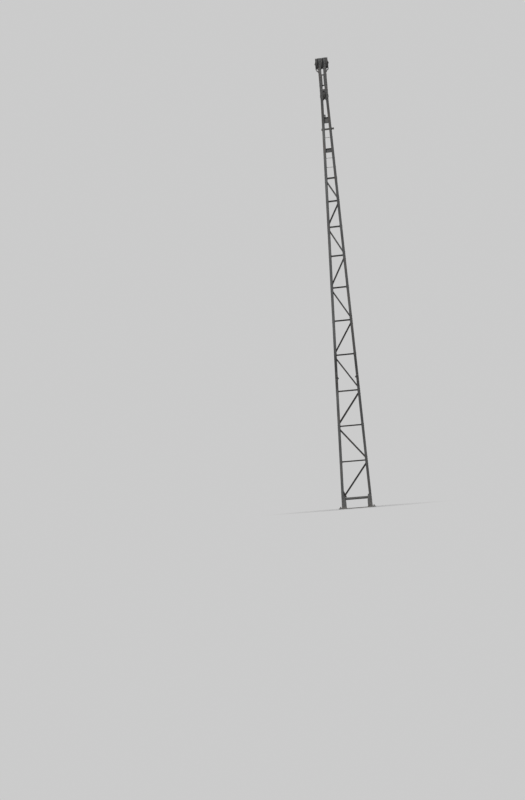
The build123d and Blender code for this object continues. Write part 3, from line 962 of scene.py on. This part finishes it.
# A grease nipple on each sheave's hub, between two of its holes
hub = {"radius": 0.056, "angle": 30.0}


def hubNipple(nodeName):
    pattern = makeCup(nipple)
    low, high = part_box(nodeName)
    centre = (low + high) / 2
    angle = math.radians(hub["angle"])
    out = Vector((0, math.cos(angle), math.sin(angle)))
    place = centre + out * hub["radius"] + Vector(((high.x - low.x) / 4, 0, 0))
    piece = joinCopies(pattern, [seat(place, out)])
    discard(pattern)
    return dress(piece, nodeName + "_nipple", nodeName + "_body", pinSteel)


for nodeName in sheaveNodes:
    hubNipple(nodeName)
print("hub nipples placed")

# Collars that keep the rope guide rod from sliding, and its split pin
collar = {"sides": 40, "outer": 0.047, "length": 0.018, "gap": 0.0005, "round": 0.002, "screw": 0.006,
          "screwRound": 0.0005}


def makeCollar(rodRadius):
    # ring about z, standing on z = 0, with a set screw
    ring = addCylinder(collar["sides"], collar["outer"], collar["length"])
    editMode(ring)
    selectFaces(ring, lambda face: len(face.vertices) == collar["sides"])
    bpy.ops.mesh.inset(thickness=collar["outer"] - rodRadius - collar["gap"])
    bpy.ops.mesh.delete(type="FACE")
    bpy.ops.mesh.select_mode(type="EDGE")
    bpy.ops.mesh.select_non_manifold(extend=False)
    bpy.ops.mesh.bridge_edge_loops()
    bpy.ops.mesh.select_all(action="SELECT")
    bpy.ops.mesh.normals_make_consistent(inside=False)
    objectMode()
    applyBevel(ring, collar["round"])
    bpy.ops.mesh.primitive_cylinder_add(
        vertices=4, radius=collar["screw"], depth=collar["screw"],
        location=(0, -collar["outer"], collar["length"] / 2), rotation=(math.pi / 2, 0, 0),
    )
    screw = bpy.context.object
    applyPlace(screw)
    applyBevel(screw, collar["screwRound"], 1)
    ring = joinPieces([ring, screw])
    ring.name = "collar"
    return ring


splitPin = {"radius": 0.004, "eye": 0.009, "spare": 0.012, "fromEnd": 0.008, "bend": 0.9, "apart": 0.42,
            "drop": 0.3, "wire": 0.8, "leg": 0.7, "eyeSides": 18, "shankSides": 10, "wireSides": 8}


def makeSplitPin(x, z, reach):
    # eye above the rod, shank through it, and two legs bent apart below
    bpy.ops.mesh.primitive_torus_add(
        major_segments=splitPin["eyeSides"], minor_segments=splitPin["wireSides"],
        major_radius=splitPin["eye"], minor_radius=splitPin["radius"] * splitPin["wire"],
        location=(x, 0, z + reach + splitPin["eye"]), rotation=(0, math.pi / 2, 0),
    )
    eye = bpy.context.object
    bpy.ops.mesh.primitive_cylinder_add(
        vertices=splitPin["shankSides"], radius=splitPin["radius"], depth=2 * reach, location=(x, 0, z),
    )
    shank = bpy.context.object
    legs = []
    for sign in (-1, 1):
        bpy.ops.mesh.primitive_cylinder_add(
            vertices=splitPin["wireSides"], radius=splitPin["radius"] * splitPin["leg"],
            depth=splitPin["spare"],
            location=(x, sign * splitPin["spare"] * splitPin["apart"],
                      z - reach - splitPin["spare"] * splitPin["drop"]),
            rotation=(sign * splitPin["bend"], 0, 0),
        )
        legs.append(bpy.context.object)
    return joinPieces([eye, shank] + legs)


def guideRodFittings():
    low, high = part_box("rope_guide_rod")
    z = (low.z + high.z) / 2
    points = [p for p in solidsOf("rope_guide_rod")[0] if p.x < 0]
    rodLow, rodHigh = lowHigh(points, 2)
    radius = (rodHigh - rodLow) / 2
    pattern = makeCollar(radius)
    web = halfWidth(z - radius) + collar["gap"]
    places = [Matrix.Translation((side * web, 0, z)) @ turnTo((side, 0, 0)) for side in (-1, 1)]
    piece = joinCopies(pattern, places)
    discard(pattern)
    dress(piece, "guide_rod_collars", mastBody, fixingSteel)
    pin = makeSplitPin(low.x + splitPin["fromEnd"], z, radius + splitPin["radius"])
    dress(pin, "guide_rod_split_pin", mastBody, pinSteel)


guideRodFittings()
print("guide rod fitted")

# Weld beads, drawn as rippled curves and made meshes
weldLook = {"radius": 0.0045, "step": 0.008, "ripple": 0.16, "leastRipple": 0.5, "tubeSides": 24}


def beadAlong(points, closed=True):
    route = points + points[:1] if closed else points
    places = []
    for start, end in zip(route, route[1:]):
        count = max(1, round((end - start).length / weldLook["step"]))
        places += [start.lerp(end, i / count) for i in range(count)]
    if not closed:
        places.append(route[-1])
    curve = bpy.data.curves.new("bead", "CURVE")
    curve.dimensions = "3D"
    curve.bevel_depth = weldLook["radius"]
    curve.bevel_resolution = 1
    curve.use_fill_caps = not closed
    spline = curve.splines.new("POLY")
    spline.points.add(len(places) - 1)
    for i, place in enumerate(places):
        spline.points[i].co = (*place, 1)
        swell = weldLook["ripple"] * turns.uniform(weldLook["leastRipple"], 1)
        spline.points[i].radius = 1 + swell if i % 2 else 1 - swell
    spline.use_cyclic_u = closed
    bead = bpy.data.objects.new("bead", curve)
    bpy.context.scene.collection.objects.link(bead)
    makeActive(bead)
    bpy.ops.object.convert(target="MESH")
    return bpy.context.object


def channelOutline(side, z):
    # once round a channel's section, outside and inside
    outer = halfWidth(z)
    toeX = outer - channel["width"]
    web = outer - channel["web"]
    face = channel["depth"] / 2
    inner = face - channel["flange"]
    corners = [(toeX, -inner), (toeX, -face), (outer, -face), (outer, face), (toeX, face), (toeX, inner),
               (web, inner), (web, -inner)]
    return [Vector((side * x, y, z)) for x, y in corners]


joist = {"flange": 0.010, "halfWeb": 0.004}


def beamOutline(side, nodeName):
    # once round a joist's end, on the web's inner face
    low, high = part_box(nodeName)
    flange = joist["flange"]
    web = joist["halfWeb"]
    corners = [(low.y, low.z), (high.y, low.z), (high.y, low.z + flange), (web, low.z + flange),
               (web, high.z - flange), (high.y, high.z - flange), (high.y, high.z), (low.y, high.z),
               (low.y, high.z - flange), (-web, high.z - flange), (-web, low.z + flange),
               (low.y, low.z + flange)]
    return [Vector((side * (halfWidth(z) - channel["web"]), y, z)) for y, z in corners]


def tubeOutline(side, nodeName):
    low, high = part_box(nodeName)
    radius = (high.z - low.z) / 2
    middle = (low.z + high.z) / 2
    points = []
    for i in range(weldLook["tubeSides"]):
        angle = math.tau * i / weldLook["tubeSides"]
        z = middle + radius * math.sin(angle)
        points.append(Vector((side * (halfWidth(z) - channel["web"]), radius * math.cos(angle), z)))
    return points


shoe = {"cheekFoot": 0.175, "inset": 0.002}


def shoeBeads(side):
    # along the feet of a shoe's two cheeks, and of the web between them
    beads = []
    for sign in (-1, 1):
        start = Vector((side * footX, sign * plateY, footZ))
        beads.append(beadAlong([start, start - Vector((side * shoe["cheekFoot"], 0, 0))], closed=False))
    reach = channel["depth"] / 2 - shoe["inset"]
    beads.append(beadAlong([Vector((side * footX, y, footZ)) for y in (reach, -reach)], closed=False))
    return beads


def weldFoot():
    beads = []
    for side in (-1, 1):
        beads.append(beadAlong(channelOutline(side, footZ)[4:] + channelOutline(side, footZ)[:2]))
        beads += shoeBeads(side)
        beads.append(beadAlong(tubeOutline(side, "foot_tie_tube")))
    return dress(joinPieces(beads), "foot_welds", mastBody, footPaint)


def weldMast():
    beads = []
    for side in (-1, 1):
        for z in (spliceZ - spliceBolts["endPlate"], spliceZ + spliceBolts["endPlate"]):
            beads.append(beadAlong(channelOutline(side, z)))
        for nodeName in ("upper_crossbeam", "head_tie_beam"):
            beads.append(beadAlong(beamOutline(side, nodeName)))
    low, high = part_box("rope_lug")
    for y in (low.y, high.y):
        beads.append(beadAlong([Vector((low.x, y, high.z)), Vector((low.x, y, low.z)),
                                Vector((high.x, y, low.z))], closed=False))
    return dress(joinPieces(beads), "mast_welds", mastBody, mastPaint)


weldFoot()
weldMast()
print("weld beads laid")

for pattern in (rivet, smallBolt, middleBolt, anchorBolt):
    discard(pattern)

# Camera: low down and a little to the right, rolled so that the mast leans as in the photograph
view = {
    "place": (2.296, -42.403, 0.462), "turn": 8.0, "lean": 4.61, "lens": 49.5, "sensor": 36.0,
    "shiftX": 0.0, "shiftY": 0.1295, "reach": 2000,
}


def makeCamera():
    camera = bpy.data.objects.new("camera", bpy.data.cameras.new("camera"))
    bpy.context.scene.collection.objects.link(camera)
    camera.data.lens = view["lens"]
    camera.data.sensor_width = view["sensor"]
    camera.data.shift_x = view["shiftX"]
    camera.data.shift_y = view["shiftY"]
    camera.data.clip_end = view["reach"]
    turn = Matrix.Rotation(math.radians(view["turn"]), 4, "Z")
    roll = Matrix.Rotation(math.radians(view["lean"]), 4, "Y")
    upright = Matrix.Rotation(math.radians(90), 4, "X")
    camera.matrix_world = Matrix.Translation(view["place"]) @ turn @ roll @ upright
    bpy.context.scene.camera = camera


makeCamera()

# Light: a wide soft sun from the front and above, and an even sky
light = {"sunStrength": 1.5, "sunAngle": 25.0, "sunFrom": (-0.35, -0.78, 0.52), "sky": 0.62, "backdrop": 0.60}


def greyOf(value):
    return (value, value, value, 1.0)


def directRays(tree):
    # 1 where the camera, a gloss or glass sees this straight
    path = addNode(tree, "ShaderNodeLightPath")
    seen = mathNode(tree, "MAXIMUM", path.outputs["Is Camera Ray"], path.outputs["Is Transmission Ray"])
    return mathNode(tree, "MAXIMUM", seen, path.outputs["Is Glossy Ray"])


def makeLight():
    sun = bpy.data.objects.new("sun", bpy.data.lights.new("sun", "SUN"))
    bpy.context.scene.collection.objects.link(sun)
    sun.data.energy = light["sunStrength"]
    sun.data.angle = math.radians(light["sunAngle"])
    sun.matrix_world = turnTo(light["sunFrom"])
    world = bpy.data.worlds.new("studio")
    bpy.context.scene.world = world
    world.use_nodes = True
    tree = world.node_tree
    tree.nodes.clear()
    out = addNode(tree, "ShaderNodeOutputWorld")
    sky = addNode(tree, "ShaderNodeBackground")
    setInputs(sky, Color=greyOf(1.0), Strength=light["sky"])
    seen = addNode(tree, "ShaderNodeBackground")
    setInputs(seen, Color=greyOf(light["backdrop"]), Strength=1.0)
    mix = addNode(tree, "ShaderNodeMixShader")
    tree.links.new(directRays(tree), mix.inputs[0])
    tree.links.new(sky.outputs[0], mix.inputs[1])
    tree.links.new(seen.outputs[0], mix.inputs[2])
    tree.links.new(mix.outputs[0], out.inputs["Surface"])


makeLight()

# Floor: pale round the foot, and the backdrop's grey further off
floorLook = {"grey": 0.56, "darker": 0.98, "clouds": (0.6, 4.0, 0.55, 0.2, 0.8), "roughness": 0.9,
             "specular": 0.2, "size": 600.0, "near": 1.2, "far": 4.0}


def makeFloor():
    bpy.ops.mesh.primitive_plane_add(size=floorLook["size"], location=(0, 0, 0))
    floor = bpy.context.object
    floor.name = "floor"
    material, tree, shader, coords = startMaterial("floorPlaster")
    cloud = patches(tree, coords, floorLook["clouds"])
    color = mixColors(tree, cloud, greyOf(floorLook["grey"] * floorLook["darker"]), greyOf(floorLook["grey"]))
    tree.links.new(color, shader.inputs["Base Color"])
    setInputs(shader, Roughness=floorLook["roughness"], Specular_IOR_Level=floorLook["specular"])
    distance = addNode(tree, "ShaderNodeVectorMath", operation="LENGTH")
    tree.links.new(coords, distance.inputs[0])
    away = rampBetween(tree, distance.outputs["Value"], floorLook["near"], floorLook["far"])
    backdrop = addNode(tree, "ShaderNodeEmission")
    setInputs(backdrop, Color=greyOf(light["backdrop"]), Strength=1.0)
    mix = addNode(tree, "ShaderNodeMixShader")
    tree.links.new(times(tree, away, directRays(tree)), mix.inputs[0])
    tree.links.new(shader.outputs[0], mix.inputs[1])
    tree.links.new(backdrop.outputs[0], mix.inputs[2])
    tree.links.new(mix.outputs[0], tree.nodes["Material Output"].inputs["Surface"])
    floor.data.materials.append(material)


makeFloor()
bpy.context.scene.view_settings.view_transform = "Standard"
print("camera, light and floor set")
